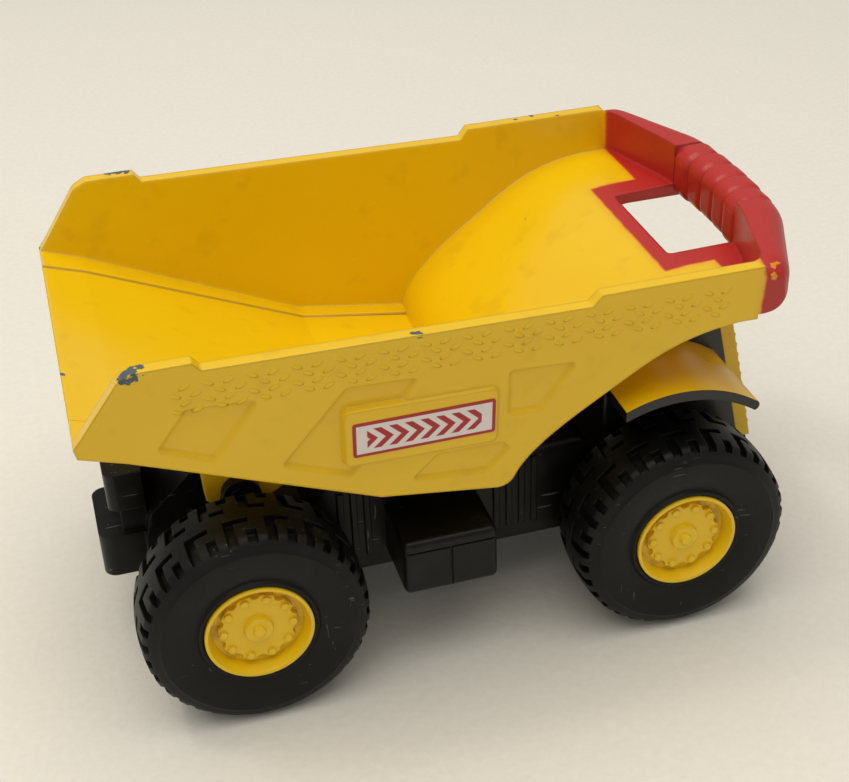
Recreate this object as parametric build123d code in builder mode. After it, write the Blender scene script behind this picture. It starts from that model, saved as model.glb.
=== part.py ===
from build123d import *
from math import cos, radians, sin, tan
import os

# Toy dump truck: a die-cast bed with its carry handle, on a moulded chassis with four chunky wheels.
# Millimetres. +X is the front of the truck, +Y its left side, +Z up.
# The origin is on the ground, halfway along the truck and midway between its sides.

# ------------------------------------------------------------ sizes that can be set
overall_length = 127.0          # tail lip of the bed to the front of the carry handle
wheelbase = 78.0
width_over_tyres = 72.0
tyre_diameter = 40.0
tyre_width = 15.5
tread_depth = 1.2
lugs_per_row = 20
hub_diameter = 18.8
axle_diameter = 2.5
rim_half_width = 36.2           # outside of the bed's side walls at the rim
rim_height = 72.4
corner_rise = 2.2               # the bed's raised corners stand this much above the rim
bed_wall = 2.4
bed_floor = 1.9
floor_front_height = 39.6       # load floor where it meets the scoop
lip_height = 62.7               # load floor at the tail lip
canopy_height = 65.9            # top of the plate over the cab
side_draft = 6.2                # degrees, the side walls lean out from bottom to rim
panel_relief = 0.7              # depth of the pressed panels in the side walls
handle_thickness = 7.9
handle_height = 10.4
finger_lobes = 5
lobe_pitch = 5.2
hole_length = 12.6
hole_half_width = 13.0
chassis_half_width = 19.0
chassis_bottom = 15.5
chassis_rear_top = 29.5
deck_height = 35.0
chassis_wall = 2.0
pivot_height = 36.3
pin_diameter = 3.0
hinge_lug_thickness = 3.2
hinge_ear_thickness = 2.2
fender_height = 51.4
fender_thickness = 2.0
fender_half_width = 34.6
hood_half_width = 16.5
cab_roof_height = 57.0
grille_thickness = 2.6
toolbox_length = 17.0
toolbox_height = 11.2
toolbox_depth = 13.2
screw_diameter = 2.0
decal_thickness = 0.12

# ------------------------------------------------------------ clearances
running_clearance = 0.05        # a shaft turning in its bore, per side
side_clearance = 0.4            # faces that slide past each other
moulded_gap = 0.15              # loose fit between moulded pieces

# ------------------------------------------------------------ derived places
tyre_radius = tyre_diameter / 2
hub_radius = hub_diameter / 2
axle_radius = axle_diameter / 2
pin_radius = pin_diameter / 2
screw_radius = screw_diameter / 2
front_axle_x = wheelbase / 2
rear_axle_x = -wheelbase / 2
wheel_y = (width_over_tyres - tyre_width) / 2
lip_x = -overall_length / 2
handle_front_x = overall_length / 2
handle_inner_x = handle_front_x - handle_thickness
pivot_x = rear_axle_x + 1.7
corner_top = rim_height + corner_rise
handle_top = corner_top - 0.4
handle_bottom = handle_top - handle_height

os.makedirs("parts", exist_ok=True)


def save(piece, name):
    """Name a finished piece and write its STEP file."""
    piece.label = name
    export_step(piece, f"parts/{name}.step")


def shifted(point, shift):
    return (point[0] + shift[0], point[1] + shift[1])


# ------------------------------------------------------------ bed: outside shape
floor_front = (4.8, floor_front_height)
floor_bend = (-16.0, floor_front_height + 3.3)
floor_tail = (lip_x + 7.5, lip_height - 2.5)
lip = (lip_x, lip_height)
scoop_points = [
    floor_front,
    (9.6, floor_front_height + 7.8),
    (22.6, canopy_height - 8.7),
    (44.0, canopy_height),
]
scoop_tangents = [(0.25, 1.0), (1.0, 0.08)]
scoop_shift = (1.8, -2.0)       # from the inner face of the scoop to its underside
underside_scoop = [shifted(point, scoop_shift) for point in scoop_points]
high_above = rim_height + 20


def half_width_at(height):
    """Outside half width of the drafted side walls at a height."""
    return rim_half_width + (height - rim_height) * tan(radians(side_draft))


def trough_section(wall):
    """Section across the bed, inside the side walls by the given wall."""
    low = half_width_at(0) - wall
    high = half_width_at(high_above) - wall
    return [(-low, 0), (low, 0), (high, high_above), (-high, high_above)]


# the outside seen from the side, pulled across the full width
with BuildPart() as side_prism:
    with BuildSketch(Plane.XZ):
        with BuildLine():
            Spline(underside_scoop, tangents=scoop_tangents)
            Polyline(
                underside_scoop[-1],
                (handle_inner_x, handle_bottom),
                (handle_front_x, handle_bottom),
                (handle_front_x, handle_top),
                (20.9, handle_top),
                (19.3, rim_height - 0.1),
                (-43.0, rim_height + 1.0),
                (-44.3, corner_top + 0.4),
                (lip_x + 10.4, corner_top + 0.4),
                (lip_x + 8.0, corner_top - 0.8),
                (lip_x + 1.2, lip_height + 1.5),
                lip,
                (lip_x + 0.4, lip_height - bed_floor),
                shifted(floor_tail, (0, -bed_floor)),
                shifted(floor_bend, (0, -bed_floor)),
                underside_scoop[0],
            )
        make_face()
    extrude(amount=rim_half_width + 5, both=True)
    cross_edges = side_prism.edges().filter_by(Axis.Y)
    fillet(cross_edges.sort_by(Axis.Z)[0], radius=3.0)
    tail_corner = cross_edges.filter_by_position(Axis.X, lip_x + 7, lip_x + 11)
    fillet(tail_corner.filter_by_position(Axis.Z, rim_height, high_above), radius=2.0)

# the outside seen along the truck, with the drafted side walls
with BuildPart() as outer_trough:
    with BuildSketch(Plane.YZ.offset(lip_x - 1)):
        Polygon(*trough_section(0), align=None)
    extrude(amount=overall_length + 2)

# the outside seen from above: straight sides, and a nose that rounds into the handle
nose_length = 14.5              # from the end of the straight side walls to the front of the handle
nose_rear_x = handle_front_x - nose_length
handle_rounding = 4.0
outer_nose = [
    (nose_rear_x + 1, rim_half_width + 0.5),
    (handle_front_x - 7.6, rim_half_width - 4.4),
    (handle_front_x - 2.6, 20.5),
    (handle_front_x, 0),
]
inner_nose = [
    (nose_rear_x - 1, rim_half_width - 2.2),
    (handle_inner_x - 4.3, rim_half_width - 7.6),
    (handle_inner_x - 1.4, 18.0),
    (handle_inner_x, 0),
]

with BuildPart() as plan_prism:
    with BuildSketch(Plane.XY.offset(handle_bottom)):
        with BuildLine():
            Spline(outer_nose, tangents=[(1.0, 0.0), (0.0, -1.0)])
            Polyline(outer_nose[-1], (nose_rear_x, 0), (nose_rear_x, outer_nose[0][1]), outer_nose[0])
        make_face()
        mirror(about=Plane.XZ)
    extrude(amount=handle_height)
    fillet(plan_prism.edges().filter_by(GeomType.BSPLINE), radius=handle_rounding)
    with BuildSketch():
        with Locations(((lip_x + nose_rear_x) / 2, 0)):
            Rectangle(nose_rear_x - lip_x, 2 * rim_half_width + 1)
    extrude(amount=high_above)

# ------------------------------------------------------------ bed: load space
with BuildPart() as load_prism:
    with BuildSketch(Plane.XZ):
        with BuildLine():
            Spline(scoop_points, tangents=scoop_tangents)
            Polyline(
                scoop_points[-1],
                (handle_front_x, canopy_height + 0.7),
                (handle_front_x, high_above),
                (lip_x - 5, high_above),
                (lip_x - 5, lip_height + 1.4),
                lip,
                floor_tail,
                floor_bend,
                floor_front,
            )
        make_face()
    extrude(amount=rim_half_width + 5, both=True)

with BuildPart() as inner_trough:
    with BuildSketch(Plane.YZ.offset(lip_x - 6)):
        Polygon(*trough_section(bed_wall), align=None)
    extrude(amount=overall_length + 6)

with BuildPart() as inner_plan:
    with BuildSketch():
        with BuildLine():
            Spline(inner_nose, tangents=[(1.0, -0.3), (0.0, -1.0)])
            Polyline(
                inner_nose[-1],
                (lip_x - 6, 0),
                (lip_x - 6, rim_half_width + 2),
                (inner_nose[0][0], rim_half_width + 2),
                inner_nose[0],
            )
        make_face()
        mirror(about=Plane.XZ)
    extrude(amount=high_above)

# wedges that fold the load floor up towards both side walls
fold_half_width = 26.8
fold_reach = 9.0
fold_slope = 0.42

with BuildPart() as floor_folds:
    with BuildLine() as floor_line:
        Polyline(
            (floor_front[0] + 1.2, 0, floor_front[1]),
            (floor_bend[0], 0, floor_bend[1]),
            (floor_tail[0], 0, floor_tail[1]),
            (lip_x - 5, 0, lip_height + 1.7),
        )
    with BuildSketch(Plane(origin=floor_line.line @ 0, x_dir=(0, 1, 0), z_dir=floor_line.line % 0)):
        for side in (-1, 1):
            Polygon(
                (side * fold_half_width, -0.4),
                (side * (fold_half_width + fold_reach), -0.4),
                (side * (fold_half_width + fold_reach), fold_reach * fold_slope),
                (side * fold_half_width, 0),
                align=None,
            )
    sweep(path=floor_line.line, transition=Transition.RIGHT)

# ------------------------------------------------------------ bed: hinge lugs
ear_inner_y = chassis_half_width - hinge_ear_thickness
lug_outer_y = ear_inner_y - side_clearance
lug_bottom = pivot_height - 3.6

with BuildPart() as hinge_lug:
    with BuildSketch(Plane.XZ.offset(lug_outer_y - hinge_lug_thickness)):
        with BuildLine():
            Polyline(
                (pivot_x - 6.0, pivot_height - 1.0),
                (pivot_x - 7.0, pivot_height + 16.0),
                (pivot_x + 10.5, pivot_height + 11.0),
                (pivot_x + 8.2, pivot_height - 0.5),
                (pivot_x + 3.0, lug_bottom),
            )
            ThreePointArc(
                (pivot_x + 3.0, lug_bottom),
                (pivot_x - 3.2, lug_bottom + 0.2),
                (pivot_x - 6.0, pivot_height - 1.0),
            )
        make_face()
        with Locations((pivot_x, pivot_height)):
            Circle(pin_radius + running_clearance, mode=Mode.SUBTRACT)
    extrude(amount=hinge_lug_thickness)

# ------------------------------------------------------------ bed: carry grip
grip_half = finger_lobes * lobe_pitch / 2
lobe_depth = 0.75
lobe_overlap = 1.2
grip_rounding = 3.0             # along the grip
lobe_rounding = 1.8             # round each end of a lobe, so that two lobes meet in a shallow flute
nose_bow = 0.9                  # the grip's ends stand this far behind its middle
bar_x = handle_front_x - handle_thickness / 2
bar_z = handle_bottom + handle_height / 2
core_thickness = handle_thickness - 2 * lobe_depth - nose_bow

with BuildPart() as grip_core:
    with Locations((bar_x - nose_bow / 2, 0, bar_z)):
        Box(core_thickness, 2 * grip_half + 4, handle_height - 2 * lobe_depth)
    fillet(grip_core.edges().filter_by(Axis.Y), radius=grip_rounding - lobe_depth)

with BuildPart() as finger_lobe:
    with Locations((bar_x, 0, bar_z)):
        Box(handle_thickness, lobe_pitch + lobe_overlap, handle_height)
    fillet(finger_lobe.edges().filter_by(Axis.Y), radius=grip_rounding)
    lobe_ends = finger_lobe.edges().group_by(Axis.Y)
    fillet(lobe_ends[0] + lobe_ends[-1], radius=lobe_rounding)

lobe_places = []
for i in range(finger_lobes):
    lobe_y = (i - (finger_lobes - 1) / 2) * lobe_pitch
    lobe_places.append((-nose_bow * (lobe_y / grip_half) ** 2, lobe_y, 0))

# ------------------------------------------------------------ bed: pressed side panels
wall_base = 58.0
right_wall = Plane(
    origin=(0, -half_width_at(wall_base), wall_base),
    x_dir=(1, 0, 0),
    z_dir=(0, -cos(radians(side_draft)), -sin(radians(side_draft))),
)
recessed_panels = [
    [(-46.2, 66.6), (-34.5, 66.0), (-42.5, 55.2), (-51.4, 59.4)],
    [(-21.2, 65.2), (-9.0, 64.6), (-20.8, 46.6), (-32.4, 51.6)],
    [(-6.4, 47.9), (5.2, 47.9), (6.6, 46.2), (2.6, 41.8), (-11.3, 43.1)],
    [(5.6, 62.6), (17.8, 61.9), (11.6, 53.0), (5.6, 53.4)],
]
plate_outline = [(-22.3, 61.0), (-22.3, 49.0), (4.2, 48.5), (4.2, 60.4)]
plate_corner = 1.6
panel_taper = 42                # degrees, so that a panel's edge is a ledge that shows
decal_length = 23.9
decal_height = 6.9
decal_centre = (-8.7, 54.7)


def on_wall(points):
    """Turn (x, height) points into points of the wall's own plane."""
    return [(x, (height - wall_base) / cos(radians(side_draft))) for x, height in points]


with BuildPart() as panel_cuts:
    for panel in recessed_panels:
        with BuildSketch(right_wall) as panel_face:
            Polygon(*on_wall(panel), align=None)
            fillet(panel_face.vertices(), radius=0.8)
        extrude(amount=-panel_relief, taper=panel_taper)

with BuildPart() as label_plate:
    with BuildSketch(right_wall.offset(-panel_relief)) as plate_face:
        Polygon(*on_wall(plate_outline), align=None)
        fillet(plate_face.vertices(), radius=plate_corner)
    extrude(amount=2 * panel_relief, taper=20)

# ------------------------------------------------------------ bed: all of it as one casting
with BuildPart() as dump_bed:
    add(side_prism.part)
    add(outer_trough.part, mode=Mode.INTERSECT)
    add(plan_prism.part, mode=Mode.INTERSECT)
    add(hinge_lug.part)
    mirror(hinge_lug.part, about=Plane.XZ)
    load_space = (load_prism.part & inner_trough.part & inner_plan.part) - floor_folds.part
    add(load_space, mode=Mode.SUBTRACT)
    # the hole under the handle
    with BuildSketch(Plane.XY.offset(handle_bottom - 5)) as hole:
        Polygon(
            (handle_inner_x - hole_length, -hole_half_width + 0.5),
            (handle_front_x, -hole_half_width),
            (handle_front_x, hole_half_width),
            (handle_inner_x - hole_length, hole_half_width - 0.5),
            align=None,
        )
        fillet(hole.vertices().group_by(Axis.X)[0], radius=1.0)
    extrude(amount=handle_height + 10, mode=Mode.SUBTRACT)
    add(grip_core.part)
    with Locations(*lobe_places):
        add(finger_lobe.part)
    add(panel_cuts.part, mode=Mode.SUBTRACT)
    mirror(panel_cuts.part, about=Plane.XZ, mode=Mode.SUBTRACT)
    add(label_plate.part)
    mirror(label_plate.part, about=Plane.XZ)

save(dump_bed.part, "dump_bed")

# ------------------------------------------------------------ printed labels on the side plates
with BuildPart() as side_decal_right:
    with BuildSketch(right_wall.offset(panel_relief)):
        with Locations(on_wall([decal_centre])[0]):
            RectangleRounded(decal_length, decal_height, 0.5)
    extrude(amount=decal_thickness)

save(side_decal_right.part, "side_decal_right")
save(mirror(side_decal_right.part, about=Plane.XZ), "side_decal_left")

# ------------------------------------------------------------ chassis
chassis_front_x = front_axle_x + 11.5
tail_plate_x = rear_axle_x - 15.2
tail_step_x = rear_axle_x - 20.8
bumper_rear_x = rear_axle_x - 23.3
inner_half_width = chassis_half_width - chassis_wall
deck_front_x = front_axle_x - 14.5
deck_rear_x = rear_axle_x + 12.5
screw_places = [(rear_axle_x + 19.0, 0), (front_axle_x - 22.0, 0)]
screw_boss_radius = 3.0
rear_beam_half_width = 10.0
tail_block_half_width = 8.0
bed_rest_height = floor_front_height - bed_floor - 0.3
rib_pitch = 2.4

with BuildPart() as chassis_frame:
    # tub, open underneath
    with BuildSketch(Plane.XZ):
        Polygon(
            (rear_axle_x - 6.5, chassis_bottom),
            (rear_axle_x - 6.5, chassis_rear_top),
            (deck_rear_x, chassis_rear_top),
            (deck_rear_x + 4, deck_height),
            (deck_front_x, deck_height),
            (deck_front_x + 3, deck_height - 4),
            (chassis_front_x, deck_height - 4),
            (chassis_front_x, chassis_bottom),
            align=None,
        )
    extrude(amount=chassis_half_width, both=True)
    fillet(chassis_frame.edges().filter_by(Axis.X).group_by(Axis.Z)[-1], radius=1.0)
    with BuildSketch(Plane.XZ):
        Polygon(
            (rear_axle_x - 6.5 + chassis_wall, chassis_bottom),
            (rear_axle_x - 6.5 + chassis_wall, chassis_rear_top - chassis_wall),
            (deck_rear_x + 1, chassis_rear_top - chassis_wall),
            (deck_rear_x + 5, deck_height - chassis_wall),
            (deck_front_x - 1, deck_height - chassis_wall),
            (deck_front_x + 2, deck_height - 4 - chassis_wall),
            (chassis_front_x - chassis_wall, deck_height - 4 - chassis_wall),
            (chassis_front_x - chassis_wall, chassis_bottom),
            align=None,
        )
    extrude(amount=inner_half_width, both=True, mode=Mode.SUBTRACT)
    # rear beam with a sloping back, tail block above and bumper below
    with BuildSketch(Plane.XZ):
        Polygon(
            (tail_plate_x, chassis_bottom + 1),
            (tail_plate_x, chassis_bottom + 9),
            (tail_plate_x + 1.6, chassis_bottom + 14.5),
            (pivot_x - 8.0, pivot_height + 0.5),
            (pivot_x - 4.5, pivot_height + 0.5),
            (pivot_x - 4.5, chassis_rear_top - 1),
            (rear_axle_x - 5.5, chassis_rear_top - 1),
            (rear_axle_x - 5.5, chassis_bottom + 1),
            align=None,
        )
    extrude(amount=rear_beam_half_width, both=True)
    with Locations(((tail_step_x + tail_plate_x + 1) / 2, 0, pivot_height - 2.1)):
        Box(tail_plate_x + 1 - tail_step_x, 2 * tail_block_half_width, 7.6)
    with Locations(((tail_step_x + 2 + tail_plate_x + 1) / 2, 0, chassis_bottom + 12)):
        Box(tail_plate_x - 1 - tail_step_x, 2 * tail_block_half_width - 2, 6.5)
    with Locations(((bumper_rear_x + tail_plate_x + 1) / 2, 0, chassis_bottom + 5.2)):
        Box(tail_plate_x + 1 - bumper_rear_x, 2 * tail_block_half_width, 8.6)
    fillet(chassis_frame.edges().filter_by(Axis.Z).group_by(Axis.X)[0], radius=2.4)
    fillet(chassis_frame.edges().filter_by(Axis.Z).filter_by_position(
        Axis.X, tail_step_x - 0.1, tail_step_x + 0.1), radius=1.8)
    # hinge ears
    for side in (-1, 1):
        with BuildSketch(Plane.XZ.offset(side * (chassis_half_width - hinge_ear_thickness / 2))):
            with Locations((pivot_x, pivot_height)):
                Circle(3.4)
            Polygon(
                (pivot_x - 3.4, pivot_height),
                (pivot_x + 3.4, pivot_height),
                (pivot_x + 5.4, chassis_rear_top - 1),
                (pivot_x - 5.4, chassis_rear_top - 1),
                align=None,
            )
        extrude(amount=hinge_ear_thickness / 2, both=True)
    # rest pad that carries the front of the bed
    with Locations((0, 0, (deck_height + bed_rest_height) / 2)):
        Box(6.0, 16.0, bed_rest_height - deck_height)
    # ribs on the side walls, ahead of and behind the toolboxes
    for rib_x in [-20.5 + rib_pitch * i for i in range(3)] + [8.5 + rib_pitch * i for i in range(4)]:
        for side in (-1, 1):
            with Locations((rib_x, side * chassis_half_width, (chassis_bottom + 3 + deck_height - 2) / 2)):
                Box(1.1, 1.0, deck_height - 5 - chassis_bottom)
    # bosses for the base screws
    with BuildSketch(Plane.XY.offset(chassis_bottom + 4)):
        with Locations(*screw_places):
            Circle(screw_boss_radius)
    extrude(amount=deck_height - chassis_wall - chassis_bottom - 4 + 0.5)
    # cross walls at the axles, and the bores
    for axle_x in (rear_axle_x, front_axle_x):
        for side in (-1, 1):
            with Locations((axle_x, side * (inner_half_width - 0.5), tyre_radius)):
                Box(7.0, 2.0, 2 * (tyre_radius - chassis_bottom) - 3.2)
        with Locations(Location((axle_x, 0, tyre_radius), (90, 0, 0))):
            Cylinder(axle_radius + running_clearance, 2 * chassis_half_width + 4, mode=Mode.SUBTRACT)
    with Locations(Location((pivot_x, 0, pivot_height), (90, 0, 0))):
        Cylinder(pin_radius, 2 * chassis_half_width + 4, mode=Mode.SUBTRACT)
    with BuildSketch(Plane.XY.offset(chassis_bottom)):
        with Locations(*screw_places):
            Circle(screw_radius)
    extrude(amount=14.0, mode=Mode.SUBTRACT)
    # front bumper
    with BuildSketch(Plane.XY.offset(chassis_bottom + 1)):
        with Locations((chassis_front_x + 4.4, 0)):
            RectangleRounded(10.8, 2 * hood_half_width + 1.0, 2.5)
    extrude(amount=8.4)

save(chassis_frame.part, "chassis_frame")

# ------------------------------------------------------------ base plate and its screws
base_thickness = 1.6
screw_head_radius = 2.0
screw_head_height = 0.9

with BuildPart() as base_plate:
    base_rear_x = rear_axle_x - 6.5 + chassis_wall + moulded_gap
    base_front_x = chassis_front_x - chassis_wall - moulded_gap
    with BuildSketch(Plane.XY.offset(chassis_bottom)):
        with Locations(((base_rear_x + base_front_x) / 2, 0)):
            Rectangle(base_front_x - base_rear_x, 2 * (inner_half_width - moulded_gap))
    extrude(amount=base_thickness)
    # stiffening ribs inside and feet that rise to the screw bosses
    for rib_y in (-9.0, 9.0):
        with Locations((0, rib_y, chassis_bottom + base_thickness + 0.6)):
            Box(wheelbase - 14, 1.2, 1.2)
    with BuildSketch(Plane.XY.offset(chassis_bottom + base_thickness)):
        with Locations(*screw_places):
            Circle(screw_boss_radius)
    extrude(amount=4 - base_thickness)
    # counterbores open downwards
    with Locations(*[Location((x, y, chassis_bottom), (180, 0, 0)) for x, y in screw_places]):
        CounterBoreHole(screw_radius + running_clearance, screw_head_radius + 0.3, screw_head_height, 6)

save(base_plate.part, "base_plate")

with BuildPart() as base_screws:
    with BuildSketch(Plane.XY.offset(chassis_bottom)):
        with Locations(*screw_places):
            Circle(screw_head_radius)
    extrude(amount=screw_head_height)
    fillet(base_screws.edges().group_by(Axis.Z)[0], radius=0.3)
    with BuildSketch(Plane.XY.offset(chassis_bottom)):
        with Locations(*screw_places):
            Rectangle(2.2, 0.5)
            Rectangle(0.5, 2.2)
    extrude(amount=0.5, mode=Mode.SUBTRACT)
    with BuildSketch(Plane.XY.offset(chassis_bottom + screw_head_height)):
        with Locations(*screw_places):
            Circle(screw_radius)
    extrude(amount=12.0)

save(base_screws.part, "base_screws")

# ------------------------------------------------------------ toolboxes on the chassis sides
toolbox_x = -4.0
toolbox_bottom = chassis_bottom + 2.5
toolbox_outer_y = chassis_half_width + toolbox_depth
toolbox_centre_y = -(chassis_half_width + toolbox_outer_y) / 2

with BuildPart() as toolbox_right:
    with Locations((toolbox_x, toolbox_centre_y, toolbox_bottom + toolbox_height / 2)):
        Box(toolbox_length, toolbox_depth, toolbox_height)
    toolbox_edges = toolbox_right.edges()
    outer_edges = toolbox_edges.filter_by_position(Axis.Y, -toolbox_outer_y - 1, -chassis_half_width - 0.1)
    fillet(outer_edges, radius=1.2)
    # lid line round the box and the seam between its two doors
    with BuildSketch(Plane.XZ.offset(toolbox_outer_y)):
        with Locations((toolbox_x, toolbox_bottom + toolbox_height - 2.2)):
            Rectangle(toolbox_length + 2, 0.4)
        with Locations((toolbox_x, toolbox_bottom + toolbox_height / 2 - 1.1)):
            Rectangle(0.4, toolbox_height - 2.2)
    extrude(amount=-0.35, mode=Mode.SUBTRACT)

save(toolbox_right.part, "toolbox_right")
save(mirror(toolbox_right.part, about=Plane.XZ), "toolbox_left")

# ------------------------------------------------------------ cab, hood and fenders
cab_base = deck_height - 4
cab_rear_x = front_axle_x - 9.0
cab_front_x = front_axle_x + 3.5
hood_height = fender_height + 0.2
windscreen_foot_x = front_axle_x + 9.0
grille_foot = (front_axle_x + 21.2, chassis_bottom + 10.7)
grille_lean = tan(radians(12.1))
grille_top_x = grille_foot[0] - (hood_height - grille_foot[1]) * grille_lean
hood_front_x = grille_top_x - grille_thickness
hood_foot_x = grille_foot[0] - grille_thickness
cab_wall = 1.5
fender_rear_x = front_axle_x - 12.4
fender_front_x = front_axle_x + 11.6


def cab_outline(inset):
    """Side view of cab and hood, every wall moved inwards by the inset."""
    return [
        (cab_rear_x + inset, cab_base),
        (cab_rear_x + inset, cab_roof_height - inset),
        (cab_front_x, cab_roof_height - inset),
        (windscreen_foot_x - inset * 0.6, hood_height - inset),
        (hood_front_x - inset, hood_height - inset),
        (hood_front_x - inset + (hood_height - inset - cab_base) * grille_lean, cab_base),
    ]


def fender_line(drop):
    """Arc of the fender's top face, moved down by the drop."""
    ThreePointArc(
        (fender_rear_x, fender_height - 1.8 - drop),
        (front_axle_x + 0.5, fender_height - drop),
        (fender_front_x, fender_height - 4.4 - drop),
    )


with BuildPart() as cab_shell:
    with BuildSketch(Plane.XZ):
        Polygon(*cab_outline(0), align=None)
    extrude(amount=hood_half_width, both=True)
    fillet(cab_shell.edges().filter_by(Axis.Y).group_by(Axis.Z)[-1], radius=1.5)
    fillet(cab_shell.edges().filter_by(Axis.X).group_by(Axis.Z)[-1], radius=1.0)
    # nose behind the grille, in front of the chassis
    with BuildSketch(Plane.XZ):
        Polygon(
            (chassis_front_x + moulded_gap, cab_base),
            (hood_foot_x - (cab_base - grille_foot[1]) * grille_lean, cab_base),
            (hood_foot_x, grille_foot[1]),
            (chassis_front_x + moulded_gap, grille_foot[1]),
            align=None,
        )
    extrude(amount=hood_half_width, both=True)
    # fenders over the front wheels
    with BuildSketch(Plane.XZ.offset(-fender_half_width)):
        with BuildLine():
            fender_line(0)
            ThreePointArc(
                (fender_front_x, fender_height - 4.4),
                (fender_front_x + 0.8, fender_height - 4.4 - fender_thickness / 2),
                (fender_front_x, fender_height - 4.4 - fender_thickness),
            )
            fender_line(fender_thickness)
            Line(
                (fender_rear_x, fender_height - 1.8),
                (fender_rear_x, fender_height - 1.8 - fender_thickness),
            )
        make_face()
    extrude(amount=2 * fender_half_width)
    # hollow inside, open underneath
    with BuildSketch(Plane.XZ):
        Polygon(*cab_outline(cab_wall), align=None)
    extrude(amount=hood_half_width - cab_wall, both=True, mode=Mode.SUBTRACT)
    # windscreen and side window openings
    window_sill = hood_height - 0.2
    with BuildSketch(Plane.XY.offset(window_sill)):
        with Locations((windscreen_foot_x, 0)):
            Rectangle(14.0, 2 * hood_half_width - 6)
    extrude(amount=cab_roof_height - 1.6 - window_sill, mode=Mode.SUBTRACT)
    with BuildSketch(Plane.XZ.offset(-hood_half_width - 1)):
        Polygon(
            (cab_rear_x + 3.0, window_sill),
            (cab_rear_x + 3.0, cab_roof_height - 1.8),
            (cab_front_x - 0.5, cab_roof_height - 1.8),
            (cab_front_x + 3.0, window_sill),
            align=None,
        )
    extrude(amount=2 * hood_half_width + 2, mode=Mode.SUBTRACT)

save(cab_shell.part, "cab_shell")

# dark window block that fills the cab from inside
with BuildPart() as cab_windows:
    with BuildSketch(Plane.XZ):
        Polygon(
            (cab_rear_x + cab_wall + moulded_gap, hood_height - 4.0),
            (cab_rear_x + cab_wall + moulded_gap, cab_roof_height - cab_wall - moulded_gap),
            (cab_front_x - 0.3, cab_roof_height - cab_wall - moulded_gap),
            (windscreen_foot_x - 2.0, hood_height - cab_wall - moulded_gap),
            (windscreen_foot_x - 2.0, hood_height - 4.0),
            align=None,
        )
    extrude(amount=hood_half_width - cab_wall - moulded_gap, both=True)

save(cab_windows.part, "cab_windows")

# grille plate on the front of the hood, with raised bars
grille_bar_pitch = 2.2
grille_height = hood_height - grille_foot[1]

with BuildPart() as front_grille:
    with BuildSketch(Plane.XZ):
        Polygon(
            grille_foot,
            (grille_top_x, hood_height),
            (grille_top_x - grille_thickness, hood_height),
            (grille_foot[0] - grille_thickness, grille_foot[1]),
            align=None,
        )
    extrude(amount=hood_half_width, both=True)
    for i in range(int((grille_height - 3) / grille_bar_pitch)):
        bar_height = grille_foot[1] + 2.2 + i * grille_bar_pitch
        bar_front_x = grille_foot[0] - (bar_height - grille_foot[1]) * grille_lean
        with Locations((bar_front_x, 0, bar_height)):
            Box(1.0, 2 * hood_half_width - 2, 1.0)

save(front_grille.part, "front_grille")

# ------------------------------------------------------------ wheels, built about +Z with the outer face up
wheel_face = tyre_width / 2
dish_floor = wheel_face - 2.8
disc_top = dish_floor + 0.9
bolt_count = 10
bolt_circle = 6.0
disc_radius = 6.9
axle_seat_depth = 8.5
groove_width = 2.0

with BuildPart() as hub_blank:
    with BuildSketch(Plane.XZ):
        Polygon(
            (0, -wheel_face + 1.2),
            (hub_radius, -wheel_face + 1.2),
            (hub_radius, wheel_face - 0.25),
            (hub_radius - 0.6, wheel_face - 0.25),
            (hub_radius - 1.5, dish_floor),
            (0, dish_floor),
            align=None,
        )
    revolve(axis=Axis.Z)
    # notched disc with a ring of bolt heads
    with BuildSketch(Plane.XY.offset(dish_floor)):
        Circle(disc_radius)
        with PolarLocations(disc_radius + 0.2, bolt_count, start_angle=180 / bolt_count):
            Circle(0.95, mode=Mode.SUBTRACT)
    extrude(amount=disc_top - dish_floor)
    with BuildSketch(Plane.XY.offset(disc_top)):
        with PolarLocations(bolt_circle, bolt_count):
            Circle(0.7)
    extrude(amount=0.5)
    # centre boss with its small cap
    with BuildSketch(Plane.XY.offset(disc_top)):
        Circle(2.6)
    extrude(amount=0.9, taper=15)
    with BuildSketch(Plane.XY.offset(disc_top + 0.9)):
        Circle(1.1)
    extrude(amount=0.7, taper=15)
    # hollow back and the blind bore for the axle
    with BuildSketch(Plane.XY.offset(-wheel_face + 1.2)):
        Circle(hub_radius - 2.0)
        Circle(axle_radius + 2.0, mode=Mode.SUBTRACT)
    extrude(amount=5.0, mode=Mode.SUBTRACT)
    with BuildSketch(Plane.XY.offset(-wheel_face + 1.2)):
        Circle(axle_radius)
    extrude(amount=axle_seat_depth, mode=Mode.SUBTRACT)

with BuildPart() as tyre_blank:
    with BuildSketch(Plane.XZ):
        with BuildLine():
            Polyline(
                (hub_radius, 0),
                (hub_radius, wheel_face - 0.5),
                (hub_radius + 0.7, wheel_face),
                (tyre_radius - 3.0, wheel_face),
            )
            ThreePointArc(
                (tyre_radius - 3.0, wheel_face),
                (tyre_radius - 0.7, wheel_face - 0.8),
                (tyre_radius, wheel_face - 2.6),
            )
            Polyline((tyre_radius, wheel_face - 2.6), (tyre_radius, 0), (hub_radius, 0))
        make_face()
        mirror(about=Plane.XZ)
    revolve(axis=Axis.Z)
    # two staggered rows of grooves leave the tread lugs between them
    for row in (-1, 1):
        groove_plane = Plane.XY.offset(1.0 if row > 0 else -wheel_face - 1)
        with BuildSketch(groove_plane):
            with PolarLocations(tyre_radius, lugs_per_row, start_angle=90 + row * 90 / lugs_per_row):
                Rectangle(2 * tread_depth, groove_width)
        extrude(amount=wheel_face, mode=Mode.SUBTRACT)


def place_wheel(blank, axle_x, side):
    """Stand a wheel piece on its axle, outer face to the right (-1) or left (+1)."""
    return Location((axle_x, side * wheel_y, tyre_radius), (-side * 90, 0, 0)) * blank


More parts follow.
